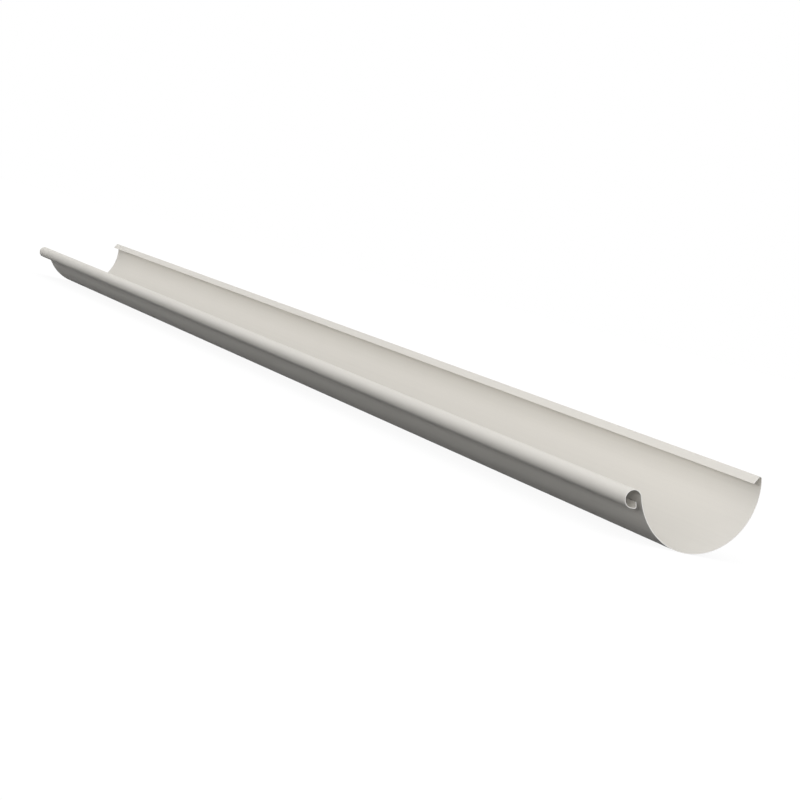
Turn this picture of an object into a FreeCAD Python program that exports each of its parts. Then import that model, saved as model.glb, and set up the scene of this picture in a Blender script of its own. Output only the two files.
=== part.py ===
"""Half-round roof gutter section, roll-formed from one strip of coated steel sheet.

The strip is bent into a half-round trough. Its front edge goes on into a round bead
that curls outwards and ends in a hooked lip, and its back edge is folded into the
trough. The section is bent in the YZ plane, with the bead towards -Y, and runs along X.

The gutter is stored as it lies unheld on a level floor. The bead makes the front
heavier, so it rocks on its round underside until its centre of mass lies straight
below the trough's axis. The origin is on that line of contact, at mid-length.
Sizes are in millimetres and angles in degrees.
"""

import FreeCAD
import Part

import math
import os

# Stock
section_length = 2000.0
sheet_thickness = 0.6

# Half-round trough
trough_bore = 125.0  # inside diameter, the size that the gutter is sold by

# Front bead: a round curl, closed by a hooked lip
bead_diameter = 17.0  # outside diameter
bead_start_angle = 4.3  # how far below the trough's axis the wall turns into the bead
bead_curl_angle = 254.0  # turn of the round part of the curl
bead_flat = 3.0  # straight run from the curl to the lip
lip_bend_radius = 1.2  # inside radius
lip_bend_angle = 108.0
lip_height = 4.2

# Back edge: folded into the trough
back_bend_radius = 1.6  # inside radius
back_bend_angle = 134.0
back_flange = 7.4


class Strip:
    """One edge of the sheet, bent step by step from the trough's lowest line outwards.

    It follows the sheet's mid-line and keeps the edges that its two faces leave, one
    half of the thickness to the left of the heading and one to the right.
    """

    def __init__(self, start, heading, thickness):
        self.point = start
        self.heading = heading
        self.half = thickness / 2.0
        self.left = []
        self.right = []
        self.length = 0.0

    def direction(self, angle):
        """Unit vector in the YZ plane at an angle from +Y towards +Z."""
        turn = math.radians(angle)
        return FreeCAD.Vector(0, math.cos(turn), math.sin(turn))

    def straight(self, length):
        """Leaves a flat stretch of the sheet."""
        side = self.direction(self.heading + 90.0) * self.half
        end = self.point + self.direction(self.heading) * length
        self.left.append(Part.LineSegment(self.point + side, end + side).toShape())
        self.right.append(Part.LineSegment(self.point - side, end - side).toShape())
        self.point = end
        self.length += length

    def bend(self, inside_radius, angle):
        """Bends the sheet about a centre on its left for a positive angle, or its right."""
        sense = math.copysign(1.0, angle)
        middle_radius = inside_radius + self.half
        centre = self.point + self.direction(self.heading + sense * 90.0) * middle_radius
        first = self.heading - sense * 90.0
        for edges, radius in (
            (self.left, middle_radius - sense * self.half),
            (self.right, middle_radius + sense * self.half),
        ):
            start, middle, end = (
                centre + self.direction(first + share * angle) * radius
                for share in (0.0, 0.5, 1.0)
            )
            edges.append(Part.Arc(start, middle, end).toShape())
        self.point = centre + self.direction(first + angle) * middle_radius
        self.heading += angle
        self.length += middle_radius * math.radians(abs(angle))


def front_strip(start):
    """The front wall, the bead and its lip."""
    strip = Strip(start, 180.0, sheet_thickness)
    strip.bend(trough_bore / 2.0, -(90.0 - bead_start_angle))
    strip.bend(bead_diameter / 2.0 - sheet_thickness, bead_curl_angle)
    strip.straight(bead_flat)
    strip.bend(lip_bend_radius, lip_bend_angle)
    strip.straight(lip_height)
    return strip


def back_strip(start):
    """The back wall and its fold."""
    strip = Strip(start, 0.0, sheet_thickness)
    strip.bend(trough_bore / 2.0, 90.0)
    strip.bend(back_bend_radius, back_bend_angle)
    strip.straight(back_flange)
    return strip


def strip_end(strip):
    """The cut edge that closes the section at the end of a strip."""
    side = strip.direction(strip.heading + 90.0) * strip.half
    return Part.LineSegment(strip.point + side, strip.point - side).toShape()


def gutter_section():
    """The bent section as a face, with the trough's axis at the origin and its opening up."""
    sole = FreeCAD.Vector(0, 0, -(trough_bore + sheet_thickness) / 2.0)
    front = front_strip(sole)
    back = back_strip(sole)
    edges = front.left + front.right + back.left + back.right
    edges += [strip_end(front), strip_end(back)]
    outline = Part.Wire(Part.__sortEdges__(edges))
    return Part.Face(outline), front.length + back.length


def resting_roll(section):
    """How far the gutter rocks towards its bead before it lies still."""
    centre = section.CenterOfMass
    return -90.0 - math.degrees(math.atan2(centre.z, centre.y))


def gutter():
    """The gutter at rest on the floor, its line of contact along the X axis."""
    section, strip_width = gutter_section()
    roll = resting_roll(section)
    section.rotate(FreeCAD.Vector(0, 0, 0), FreeCAD.Vector(1, 0, 0), roll)
    outside_radius = trough_bore / 2.0 + sheet_thickness
    section.translate(FreeCAD.Vector(-section_length / 2.0, 0, outside_radius))
    solid = section.extrude(FreeCAD.Vector(section_length, 0, 0))
    print(f"strip width {strip_width:.1f} mm, resting roll {roll:.2f} degrees")
    return solid


os.makedirs("parts", exist_ok=True)
gutter().exportStep("parts/gutter.step")
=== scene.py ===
"""Half-round roof gutter section of coated steel sheet, laid out as a Blender add-on.

The gutter is one strip of sheet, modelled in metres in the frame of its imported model. Its
section is first bent in a level attitude, with the trough's axis as origin, the bead
towards -Y and the opening up. It is then turned about that axis and lifted, so that it
lies on the floor as it would come to rest there.
"""

import math
from collections import namedtuple

import bpy
from bpy.props import FloatProperty, FloatVectorProperty, PointerProperty
from mathutils import Matrix, Vector


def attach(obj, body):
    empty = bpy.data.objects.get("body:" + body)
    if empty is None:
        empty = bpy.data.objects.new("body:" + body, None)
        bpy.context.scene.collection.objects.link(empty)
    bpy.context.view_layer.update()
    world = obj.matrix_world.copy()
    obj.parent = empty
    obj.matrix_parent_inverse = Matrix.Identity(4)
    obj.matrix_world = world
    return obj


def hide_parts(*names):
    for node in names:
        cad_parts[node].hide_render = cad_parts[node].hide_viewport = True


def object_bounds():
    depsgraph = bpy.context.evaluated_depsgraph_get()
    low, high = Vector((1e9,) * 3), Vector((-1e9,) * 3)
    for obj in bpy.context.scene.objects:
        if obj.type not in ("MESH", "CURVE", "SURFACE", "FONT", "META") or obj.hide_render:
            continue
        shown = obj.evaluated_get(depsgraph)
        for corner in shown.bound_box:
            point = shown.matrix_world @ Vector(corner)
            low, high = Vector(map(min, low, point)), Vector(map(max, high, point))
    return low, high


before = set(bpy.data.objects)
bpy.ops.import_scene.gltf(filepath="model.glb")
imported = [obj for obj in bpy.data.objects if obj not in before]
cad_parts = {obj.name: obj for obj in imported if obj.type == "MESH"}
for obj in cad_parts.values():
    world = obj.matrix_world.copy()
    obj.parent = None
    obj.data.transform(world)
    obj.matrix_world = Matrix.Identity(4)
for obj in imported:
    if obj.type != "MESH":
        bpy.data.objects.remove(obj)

bl_info = {
    "name": "Half-round gutter section",
    "version": (1, 0, 0),
    "blender": (4, 5, 0),
    "location": "3D View > Sidebar > Gutter",
    "description": "Adds a length of roll-formed half-round roof gutter, and a plain studio around it",
    "category": "Add Mesh",
}

CAD_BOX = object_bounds()
MM = 0.001


# Properties -------------------------------------------------------------------------------


def size_property(name, description, default_mm):
    """A length whose default is given in millimetres."""
    return FloatProperty(
        name=name, description=description, default=default_mm * MM, min=0.0,
        subtype="DISTANCE", unit="LENGTH", precision=4,
    )


def angle_property(name, description, degrees):
    """An angle whose default is given in degrees."""
    return FloatProperty(
        name=name, description=description, default=math.radians(degrees), subtype="ANGLE",
    )


def colour_property(name, description, default):
    """A colour in linear red, green and blue."""
    return FloatVectorProperty(
        name=name, description=description, default=default, size=3, min=0.0, max=1.0,
        subtype="COLOR",
    )


def share_property(name, description, default):
    """A value from 0 to 1."""
    return FloatProperty(
        name=name, description=description, default=default, min=0.0, max=1.0, subtype="FACTOR",
    )


def light_property(name, description, default):
    """A strength of light, where 1 shows a colour as it is written."""
    return FloatProperty(
        name=name, description=description, default=default, min=0.0, soft_max=3.0)


def place_property(name, description, default):
    """A place in metres."""
    return FloatVectorProperty(
        name=name, description=description, default=default, size=3, subtype="TRANSLATION",
        unit="LENGTH",
    )


class GutterSize(bpy.types.PropertyGroup):
    """Sizes of the sheet and of each of its bends."""

    length: size_property(
        "Length", "Cut length of the section", (CAD_BOX[1].x - CAD_BOX[0].x) / MM)
    thickness: size_property("Sheet thickness", "Thickness of the steel sheet", 0.6)
    bore: size_property("Trough bore", "Inside diameter of the trough", 125.0)
    bead: size_property("Bead diameter", "Outside diameter of the front bead", 17.0)
    bead_start: angle_property(
        "Bead start", "How far below the trough's axis the wall turns into the bead", 4.3)
    bead_curl: angle_property("Bead curl", "Turn of the round part of the bead", 254.0)
    bead_flat: size_property("Bead flat", "Straight run from the curl to the lip", 3.0)
    lip_bend: size_property("Lip bend radius", "Inside radius of the lip's bend", 1.2)
    lip_turn: angle_property("Lip turn", "Turn of the lip's bend", 108.0)
    lip_height: size_property("Lip height", "Straight run of the lip", 4.2)
    back_bend: size_property("Back bend radius", "Inside radius of the back edge's bend", 1.6)
    back_turn: angle_property("Back turn", "Turn of the back edge's bend", 134.0)
    back_flange: size_property("Back flange", "Straight run of the folded back edge", 7.4)
    burr: size_property("Cut edge chamfer", "How far the sheared edges are broken", 0.08)
    facet_sag: size_property("Facet sag", "How far a facet may leave the true curve", 0.005)
    station_gap: size_property("Station gap", "Spacing of the mesh's rings along the gutter", 50.0)


class GutterCoating(bpy.types.PropertyGroup):
    """Colours and finish of the coated sheet."""

    paint: colour_property("Paint", "Colour of the coil coating", (0.700, 0.678, 0.635))
    tone: share_property("Tone change", "How much the coating's tone varies over the sheet", 0.035)
    steel: colour_property(
        "Cut steel", "Colour of the bare metal on the sheared edges", (0.80, 0.79, 0.77))
    paint_roughness: share_property("Paint roughness", "Roughness of the satin coating", 0.5)
    paint_gloss: share_property("Paint gloss", "How strongly the satin coating reflects", 0.015)
    steel_roughness: share_property("Steel roughness", "Roughness of the sheared edges", 0.38)


class GutterStudio(bpy.types.PropertyGroup):
    """Floor, light and camera."""

    floor_shade: share_property(
        "Floor shade", "How much light the floor gives back to the gutter", 0.02)
    shadow_depth: share_property(
        "Shadow depth", "How much of the floor's brightness a shadow can take", 0.1)
    light: light_property("Soft light", "Strength of the light from all round", 0.98)
    front_light: light_property("Front light", "Added strength of the light from low in front", 1.0)
    lamp_power: FloatProperty(
        name="Lamp power", description="Power of the soft lamp that shines into the near end",
        default=2.8, min=0.0, unit="POWER",
    )
    lamp_width: size_property("Lamp width", "Diameter of the soft lamp", 400.0)
    lamp_place: place_property(
        "Lamp place", "The lamp's place from the floor under the near end", (0.9, -0.5, 0.1))
    aim: place_property(
        "Aim", "Where the camera looks, in the gutter's level attitude", (0.3444, 0.0, -0.0372))
    distance: size_property("Camera distance", "From the camera to its aim", 2453.2)
    azimuth: angle_property("Camera azimuth", "Round from the bead's side towards the near end", 65.742)
    elevation: angle_property("Camera elevation", "Above the gutter's level attitude", 10.866)
    lens: FloatProperty(
        name="Lens", description="Focal length of the camera", default=93.94,
        subtype="DISTANCE_CAMERA",
    )


# Section ----------------------------------------------------------------------------------

Station = namedtuple("Station", "place heading tightness")


class SheetLine:
    """Mid-line of one edge of the sheet, bent step by step from the trough's lowest line."""

    def __init__(self, start, heading, size):
        self.size = size
        self.stations = [Station(start, heading, 0.0)]

    def run(self, length):
        """Leaves a flat stretch."""
        last = self.stations[-1]
        place = last.place + direction(last.heading) * length
        self.stations.append(Station(place, last.heading, last.tightness))

    def bend(self, inside_radius, turn):
        """Bends the sheet to the left for a positive turn, or to the right."""
        radius = inside_radius + self.size.thickness / 2
        sense = math.copysign(1.0, turn)
        last = self.stations[-1]
        centre = last.place + direction(last.heading + sense * math.pi / 2) * radius
        facet = 2 * math.acos(1 - self.size.facet_sag / radius)
        count = math.ceil(abs(turn) / facet)
        tightness = min(1.0, self.size.thickness / inside_radius)
        for step in range(1, count + 1):
            heading = last.heading + turn * step / count
            place = centre - direction(heading + sense * math.pi / 2) * radius
            self.stations.append(Station(place, heading, tightness))

    def end_run(self, length):
        """Leaves the last flat stretch, with a station where its cut edge is broken."""
        self.run(length - self.size.burr)
        self.run(self.size.burr)


def direction(angle):
    """Unit vector in the section's plane, at an angle from +Y towards +Z."""
    return Vector((math.cos(angle), math.sin(angle)))


def sheet_stations(size):
    """Stations from the lip's edge through the trough to the back edge, in the level attitude."""
    sole = Vector((0.0, -(size.bore + size.thickness) / 2))
    quarter = math.pi / 2
    front = SheetLine(sole, math.pi, size)
    front.bend(size.bore / 2, size.bead_start - quarter)
    front.bend(size.bead / 2 - size.thickness, size.bead_curl)
    front.run(size.bead_flat)
    front.bend(size.lip_bend, size.lip_turn)
    front.end_run(size.lip_height)
    back = SheetLine(sole, 0.0, size)
    back.bend(size.bore / 2, quarter)
    back.bend(size.back_bend, size.back_turn)
    back.end_run(size.back_flange)
    turned = [s._replace(heading=s.heading + math.pi) for s in reversed(front.stations)]
    return turned + back.stations[1:]


def sheet_faces(stations, half, burr):
    """Points of the water face and of the outer face, with the two free edges broken."""
    halves = [half] * len(stations)
    halves[0] = halves[-1] = min(half, burr)
    sides = [direction(s.heading + math.pi / 2) for s in stations]
    water = [s.place + side * h for s, side, h in zip(stations, sides, halves)]
    outer = [s.place - side * h for s, side, h in zip(stations, sides, halves)]
    return water, outer


def resting_roll(water, outer):
    """How far the section rocks about the trough's axis before its centre of mass is lowest."""
    outline = water + outer[::-1]
    doubled_area = 0.0
    centre = Vector((0.0, 0.0))
    for a, b in zip(outline, outline[1:] + outline[:1]):
        doubled_part = a.x * b.y - b.x * a.y
        doubled_area += doubled_part
        centre += (a + b) * doubled_part / 3
    centre /= doubled_area
    return -math.pi / 2 - math.atan2(centre.y, centre.x)


def resting_attitude(size):
    """Matrix from the section's level attitude to the gutter at rest on the floor."""
    half = size.thickness / 2
    roll = resting_roll(*sheet_faces(sheet_stations(size), half, half))
    lift = Matrix.Translation((0.0, 0.0, size.bore / 2 + size.thickness))
    return lift @ Matrix.Rotation(roll, 4, "X")


# Mesh -------------------------------------------------------------------------------------

SHARP_ANGLE = math.radians(30)
COATED, CUT = 0, 1  # places of the two materials in the mesh's list


def along_gutter(size):
    """Where the mesh's rings stand along the gutter, with one close to each cut end."""
    end = size.length / 2
    inner = end - size.burr
    count = math.ceil(size.length / size.station_gap)
    return [-end] + [inner * (2 * i / count - 1) for i in range(count + 1)] + [end]


def gutter_mesh(size):
    """The sheet as rings of its section, closed by its cut ends.

    A ring goes along the water face from the lip to the back edge, and back along the
    outer face. Its corners and those of the cut ends are broken, and all that was sheared
    takes the material of bare steel.
    """
    stations = sheet_stations(size)
    half = size.thickness / 2
    whole = sheet_faces(stations, half, half - size.burr)
    broken = sheet_faces(stations, half - size.burr, half - size.burr)
    attitude = resting_attitude(size)
    places = along_gutter(size)
    count = len(stations)
    points = []
    for x in places:
        water, outer = broken if x in (places[0], places[-1]) else whole
        points += [attitude @ Vector((x, *p)) for p in water + outer[::-1]]
    ring = 2 * count
    back_edge = (count - 2, count - 1, count)
    lip_edge = (ring - 2, ring - 1, 0)
    faces = []
    materials = []
    for n in range(len(places) - 1):
        low = n * ring
        high = low + ring
        at_end = n in (0, len(places) - 2)
        for i in range(ring):
            j = (i + 1) % ring
            faces.append((low + i, high + i, high + j, low + j))
            materials.append(CUT if at_end or i in back_edge + lip_edge else COATED)
    last = (len(places) - 1) * ring
    for i in range(count - 1):
        cap = (i, i + 1, ring - 2 - i, ring - 1 - i)
        faces.append(cap)
        faces.append(tuple(last + corner for corner in reversed(cap)))
        materials += [CUT, CUT]
    mesh = bpy.data.meshes.new("gutter_sheet")
    mesh.from_pydata(points, [], faces)
    mesh.polygons.foreach_set("material_index", materials)
    mesh.polygons.foreach_set("use_smooth", [True] * len(faces))
    tightness = mesh.attributes.new("bend_tightness", "FLOAT", "POINT")
    one_face = [s.tightness for s in stations]
    tightness.data.foreach_set("value", (one_face + one_face[::-1]) * len(places))
    mesh.validate()
    mesh.update()
    mesh.set_sharp_from_angle(angle=SHARP_ANGLE)
    return mesh


# Materials --------------------------------------------------------------------------------

CLOUDS_PER_METRE = 2.2  # slow changes of the coating's tone
GRAINS_PER_METRE = 1800.0  # the coating's fine grain
ROLL_LINE = (0.9, 0.0035, 0.0035)  # length and width in metres of what the rolls leave
SHEAR_LINE = (0.004, 0.0004, 0.0004)  # the same for what the shear leaves
COATING_RELIEF = 0.00004  # height in metres
SHEAR_RELIEF = 0.00003
PAINT_SWING = 0.10  # how far the lines change the paint's roughness, from end to end
STEEL_SWING = 0.2
BEND_DULLING = 0.08  # roughness that the tightest bend adds


class NodeBench:
    """Adds nodes to a tree and joins their sockets."""

    def __init__(self, tree):
        self.tree = tree
        tree.nodes.clear()

    def add(self, kind, inputs=None, **settings):
        """Adds a node, with a value or another node's socket for each input named."""
        node = self.tree.nodes.new(kind)
        for name, value in settings.items():
            setattr(node, name, value)
        for key, value in (inputs or {}).items():
            if isinstance(value, bpy.types.NodeSocket):
                self.tree.links.new(value, node.inputs[key])
            else:
                node.inputs[key].default_value = value
        return node

    def maths(self, operation, *values):
        """Result of a sum on sockets or numbers."""
        node = self.add("ShaderNodeMath", dict(enumerate(values)), operation=operation)
        return node.outputs[0]

    def blend(self, *parts):
        """Sum of sockets, each taken by its share."""
        total = 0.0
        for socket, share in parts:
            total = self.maths("MULTIPLY_ADD", socket, share, total)
        return total

    def around(self, middle, swing, noise):
        """A value that a noise moves by half a swing to each side of its middle."""
        return self.maths("MULTIPLY_ADD", noise, swing, middle - swing / 2)

    def noise(self, place, scale, detail):
        """Even noise around one half."""
        node = self.add("ShaderNodeTexNoise", {"Vector": place, "Scale": scale, "Detail": detail})
        return node.outputs["Fac"]


def metal_lines_group():
    """Fine lines that a roll or a shear leaves on metal, as a value around one half."""
    group = bpy.data.node_groups.new("Metal lines", "ShaderNodeTree")
    for name, kind in (
        ("Place", "NodeSocketVector"),
        ("Line Size", "NodeSocketVector"),
        ("Detail", "NodeSocketFloat"),
    ):
        group.interface.new_socket(name=name, in_out="INPUT", socket_type=kind)
    group.interface.new_socket(name="Lines", in_out="OUTPUT", socket_type="NodeSocketFloat")
    bench = NodeBench(group)
    given = bench.add("NodeGroupInput")
    in_line_sizes = bench.add(
        "ShaderNodeVectorMath", {0: given.outputs["Place"], 1: given.outputs["Line Size"]},
        operation="DIVIDE",
    )
    lines = bench.noise(in_line_sizes.outputs[0], 1.0, given.outputs["Detail"])
    bench.add("NodeGroupOutput", {"Lines": lines})
    return group


def new_material(name):
    """An empty material, and the bench for its nodes."""
    material = bpy.data.materials.new(name)
    material.use_nodes = True
    return material, NodeBench(material.node_tree)


def object_place(bench):
    """Where a point of the surface is, in metres in the gutter's own frame."""
    return bench.add("ShaderNodeTexCoord").outputs["Object"]


def metal_lines(bench, group, place, line_size, detail):
    """The group's lines, as long and as wide as one way of working the metal leaves them."""
    node = bench.add("ShaderNodeGroup", node_tree=group)
    bench.tree.links.new(place, node.inputs["Place"])
    node.inputs["Line Size"].default_value = line_size
    node.inputs["Detail"].default_value = detail
    return node.outputs["Lines"]


def coating_material(coating, lines_group):
    """Satin coil coating: a slow change of tone, faint roll lines and a fine grain."""
    material, bench = new_material("coated_sheet")
    place = object_place(bench)
    cloud = bench.noise(place, CLOUDS_PER_METRE, 3.0)
    grain = bench.noise(place, GRAINS_PER_METRE, 2.0)
    lines = metal_lines(bench, lines_group, place, ROLL_LINE, 3.0)
    bend = bench.add("ShaderNodeAttribute", attribute_name="bend_tightness").outputs["Fac"]
    tone = bench.blend((bend, 0.25), (grain, 0.35), (lines, 0.35), (cloud, 0.3))
    paint = Vector(coating.paint)
    dark, light = (tuple(paint * (1 + s * coating.tone * 2)) + (1.0,) for s in (-1, 1))
    colour = bench.add("ShaderNodeMix", {"Factor": tone, 6: dark, 7: light}, data_type="RGBA")
    rough = bench.around(coating.paint_roughness, PAINT_SWING, lines)
    rough = bench.maths("MULTIPLY_ADD", bend, BEND_DULLING, rough)
    height = bench.blend((grain, 1.0), (lines, 0.6))
    relief = {"Height": height, "Strength": 0.7, "Distance": COATING_RELIEF}
    bump = bench.add("ShaderNodeBump", relief)
    shader = bench.add(
        "ShaderNodeBsdfPrincipled",
        {
            "Base Color": colour.outputs[2], "Roughness": rough, "Normal": bump.outputs[0],
            "Specular IOR Level": coating.paint_gloss,
        },
    )
    bench.add("ShaderNodeOutputMaterial", {"Surface": shader.outputs[0]})
    return material


def cut_steel_material(coating, lines_group):
    """Sheared galvanised steel, with the shear's fine marks across the edge."""
    material, bench = new_material("cut_steel")
    place = object_place(bench)
    lines = metal_lines(bench, lines_group, place, SHEAR_LINE, 3.0)
    steel = Vector(coating.steel)
    dark, light = (tuple(steel * s) + (1.0,) for s in (0.85, 1.1))
    colour = bench.add("ShaderNodeMix", {"Factor": lines, 6: dark, 7: light}, data_type="RGBA")
    rough = bench.around(coating.steel_roughness, STEEL_SWING, lines)
    relief = {"Height": lines, "Strength": 0.3, "Distance": SHEAR_RELIEF}
    bump = bench.add("ShaderNodeBump", relief)
    shader = bench.add(
        "ShaderNodeBsdfPrincipled",
        {
            "Base Color": colour.outputs[2], "Roughness": rough, "Metallic": 0.9,
            "Normal": bump.outputs[0],
        },
    )
    bench.add("ShaderNodeOutputMaterial", {"Surface": shader.outputs[0]})
    return material


# Studio -----------------------------------------------------------------------------------

OVER_WHITE = 1.02  # strength at which the bare floor is sure to show pure white
FLOOR_IN_LENGTHS = 10  # the floor's side, in lengths of the gutter
# How far up and how far back a direction points where the front light is full, and gone
FRONT_LIGHT_UP = (0.1, 0.4)
FRONT_LIGHT_BACK = (-0.3, 0.1)


def seen_directly(bench):
    """1 for what the camera, a reflection or glass sees, and 0 for light that falls on things."""
    path = bench.add("ShaderNodeLightPath").outputs
    seen = bench.maths("MAXIMUM", path["Is Camera Ray"], path["Is Glossy Ray"])
    return bench.maths("MAXIMUM", seen, path["Is Transmission Ray"])


def floor_material(studio):
    """White to look at apart from its shadows, and a darker shade to the light it gives back."""
    material, bench = new_material("studio_floor")
    depth = studio.shadow_depth
    shadowed = bench.add("ShaderNodeBsdfDiffuse", {"Color": (depth, depth, depth, 1.0)})
    base = bench.add("ShaderNodeEmission", {"Strength": OVER_WHITE - depth})
    white = bench.add("ShaderNodeAddShader", {0: shadowed.outputs[0], 1: base.outputs[0]})
    shade = bench.add("ShaderNodeBsdfDiffuse", {"Color": (*[studio.floor_shade] * 3, 1.0)})
    mixed = bench.add(
        "ShaderNodeMixShader", {0: seen_directly(bench), 1: shade.outputs[0], 2: white.outputs[0]})
    bench.add("ShaderNodeOutputMaterial", {"Surface": mixed.outputs[0]})
    return material


def fading(bench, value, full, gone):
    """1 where a value is at its full mark or before it, fading to 0 where it is gone."""
    marks = {"Value": value, "From Min": full, "From Max": gone, "To Min": 1.0, "To Max": 0.0}
    return bench.add("ShaderNodeMapRange", marks, interpolation_type="SMOOTHSTEP").outputs[0]


def studio_world(studio):
    """Soft light from all round, stronger from low in front, and white to look at."""
    world = bpy.data.worlds.new("studio_light")
    world.use_nodes = True
    bench = NodeBench(world.node_tree)
    towards = bench.add("ShaderNodeTexCoord").outputs["Generated"]
    split = bench.add("ShaderNodeSeparateXYZ", {"Vector": towards}).outputs
    low = fading(bench, split["Z"], *FRONT_LIGHT_UP)
    in_front = fading(bench, split["Y"], *FRONT_LIGHT_BACK)
    low_in_front = bench.maths("MULTIPLY", low, in_front)
    strength = bench.maths("MULTIPLY_ADD", low_in_front, studio.front_light, studio.light)
    light = bench.add("ShaderNodeBackground", {"Color": (1, 1, 1, 1), "Strength": strength})
    white = bench.add("ShaderNodeBackground", {"Color": (1, 1, 1, 1), "Strength": 1.0})
    mixed = bench.add(
        "ShaderNodeMixShader", {0: seen_directly(bench), 1: light.outputs[0], 2: white.outputs[0]})
    bench.add("ShaderNodeOutputWorld", {"Surface": mixed.outputs[0]})
    return world


def facing(place, away):
    """Matrix of a lamp or a camera at a place, with its back turned in a direction."""
    return Matrix.Translation(place) @ away.to_track_quat("Z", "Y").to_matrix().to_4x4()


# Operators --------------------------------------------------------------------------------


class GUTTER_OT_add_section(bpy.types.Operator):
    """Adds the gutter section: one strip of coated sheet, bent to a half-round trough"""

    bl_idname = "gutter.add_section"
    bl_label = "Gutter Section"

    def execute(self, context):
        scene = context.scene
        lines_group = metal_lines_group()
        gutter = bpy.data.objects.new("gutter_section", gutter_mesh(scene.gutter_size))
        gutter.data.materials.append(coating_material(scene.gutter_coating, lines_group))
        gutter.data.materials.append(cut_steel_material(scene.gutter_coating, lines_group))
        scene.collection.objects.link(gutter)
        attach(gutter, "root")
        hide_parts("gutter")
        return {"FINISHED"}


class GUTTER_OT_add_studio(bpy.types.Operator):
    """Adds a plain white floor, soft light all round, a lamp and the camera"""

    bl_idname = "gutter.add_studio"
    bl_label = "Studio"

    def execute(self, context):
        scene = context.scene
        self.add_floor(scene)
        scene.world = studio_world(scene.gutter_studio)
        self.add_lamp(scene)
        self.add_camera(scene)
        scene.view_settings.view_transform = "Standard"
        return {"FINISHED"}

    def add_floor(self, scene):
        reach = FLOOR_IN_LENGTHS * scene.gutter_size.length / 2
        mesh = bpy.data.meshes.new("studio_floor")
        corners = [(x * reach, y * reach, 0.0) for x, y in ((-1, -1), (1, -1), (1, 1), (-1, 1))]
        mesh.from_pydata(corners, [], [(0, 1, 2, 3)])
        mesh.materials.append(floor_material(scene.gutter_studio))
        floor = bpy.data.objects.new("studio_floor", mesh)
        scene.collection.objects.link(floor)

    def add_lamp(self, scene):
        studio = scene.gutter_studio
        under_end = Vector((scene.gutter_size.length / 2, 0.0, 0.0))
        mid_end = under_end + Vector((0.0, 0.0, scene.gutter_size.bore / 2))
        place = under_end + Vector(studio.lamp_place)
        data = bpy.data.lights.new("studio_lamp", "AREA")
        data.shape = "DISK"
        data.size = studio.lamp_width
        data.energy = studio.lamp_power
        lamp = bpy.data.objects.new("studio_lamp", data)
        lamp.matrix_world = facing(place, place - mid_end)
        scene.collection.objects.link(lamp)

    def add_camera(self, scene):
        studio = scene.gutter_studio
        across = math.cos(studio.elevation)
        away = Vector((
            math.sin(studio.azimuth) * across,
            -math.cos(studio.azimuth) * across,
            math.sin(studio.elevation),
        ))
        level = facing(Vector(studio.aim) + away * studio.distance, away)
        data = bpy.data.cameras.new("studio_camera")
        data.lens = studio.lens
        camera = bpy.data.objects.new("studio_camera", data)
        camera.matrix_world = resting_attitude(scene.gutter_size) @ level
        scene.collection.objects.link(camera)
        scene.camera = camera


class GUTTER_PT_panel(bpy.types.Panel):
    """Lists the gutter's sizes, finish and studio with their operators"""

    bl_label = "Gutter Section"
    bl_space_type = "VIEW_3D"
    bl_region_type = "UI"
    bl_category = "Gutter"

    def draw(self, context):
        scene = context.scene
        for operator, groups in (
            (GUTTER_OT_add_section, (scene.gutter_size, scene.gutter_coating)),
            (GUTTER_OT_add_studio, (scene.gutter_studio,)),
        ):
            box = self.layout.box()
            box.operator(operator.bl_idname)
            for group in groups:
                for name in group.__annotations__:
                    box.prop(group, name)


GROUPS = {
    "gutter_size": GutterSize,
    "gutter_coating": GutterCoating,
    "gutter_studio": GutterStudio,
}
CLASSES = (*GROUPS.values(), GUTTER_OT_add_section, GUTTER_OT_add_studio, GUTTER_PT_panel)


def register():
    for cls in CLASSES:
        bpy.utils.register_class(cls)
    for name, group in GROUPS.items():
        setattr(bpy.types.Scene, name, PointerProperty(type=group))


def unregister():
    for name in GROUPS:
        delattr(bpy.types.Scene, name)
    for cls in reversed(CLASSES):
        bpy.utils.unregister_class(cls)


def main():
    """Builds the gutter and its studio."""
    register()
    bpy.ops.gutter.add_section()
    bpy.ops.gutter.add_studio()


if __name__ == "__main__":
    main()
